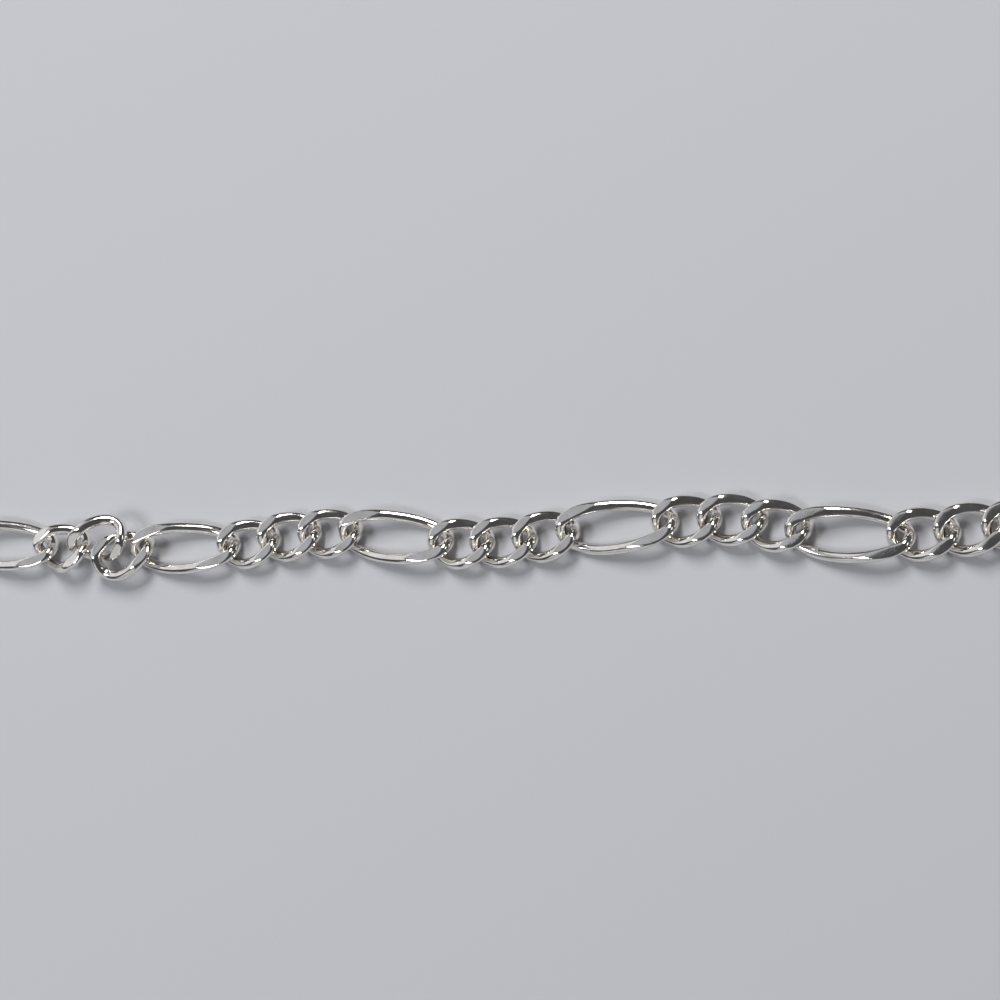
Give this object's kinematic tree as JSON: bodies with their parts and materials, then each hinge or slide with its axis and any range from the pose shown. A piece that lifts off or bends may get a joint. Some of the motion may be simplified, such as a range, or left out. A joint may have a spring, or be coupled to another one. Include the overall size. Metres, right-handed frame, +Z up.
{
  "type": "figaro chain necklace",
  "caption": "Silver figaro chain necklace of flat-cut curb links, a long oval link after each run of short ones, closed by a plain clasp and lying flat as a loop.",
  "frame": {"origin": "centre of the loop's bounding box, on the surface that it lies on", "axes": "+X along the front run that the picture shows, from its left to its right; +Y from the front run across the loop to the clasp; +Z up"},
  "size_m": [0.178, 0.1062, 0.0032],
  "materials": {
    "silver": "polished silver, flat-cut faces with a mirror polish",
    "clasp_silver": "polished silver"
  },
  "bodies": {
    "root": {"chain_left_1": "silver", "chain_left_2": "silver", "chain_right_1": "silver", "chain_right_2": "silver", "clasp": "clasp_silver", "link_01_small": "silver", "link_02_small": "silver", "link_03_long": "silver", "link_04_small": "silver", "link_05_small": "silver", "link_06_small": "silver", "link_07_long": "silver", "link_08_small": "silver", "link_09_small": "silver", "link_10_small": "silver", "link_11_long": "silver", "link_12_small": "silver", "link_13_small": "silver", "link_14_small": "silver", "link_15_long": "silver", "link_16_small": "silver", "link_17_small": "silver", "link_18_small": "silver", "link_19_long": "silver", "link_20_small": "silver", "link_21_small": "silver", "link_22_small": "silver", "link_23_long": "silver", "link_24_small": "silver", "link_25_small": "silver", "link_26_small": "silver", "link_27_long": "silver", "link_28_small": "silver", "link_29_small": "silver", "link_30_small": "silver", "link_31_long": "silver", "link_32_small": "silver", "link_33_small": "silver", "link_34_small": "silver", "link_35_long": "silver", "link_36_small": "silver", "link_37_small": "silver", "link_38_small": "silver", "link_39_long": "silver", "link_40_small": "silver"}
  },
  "joints": []
}
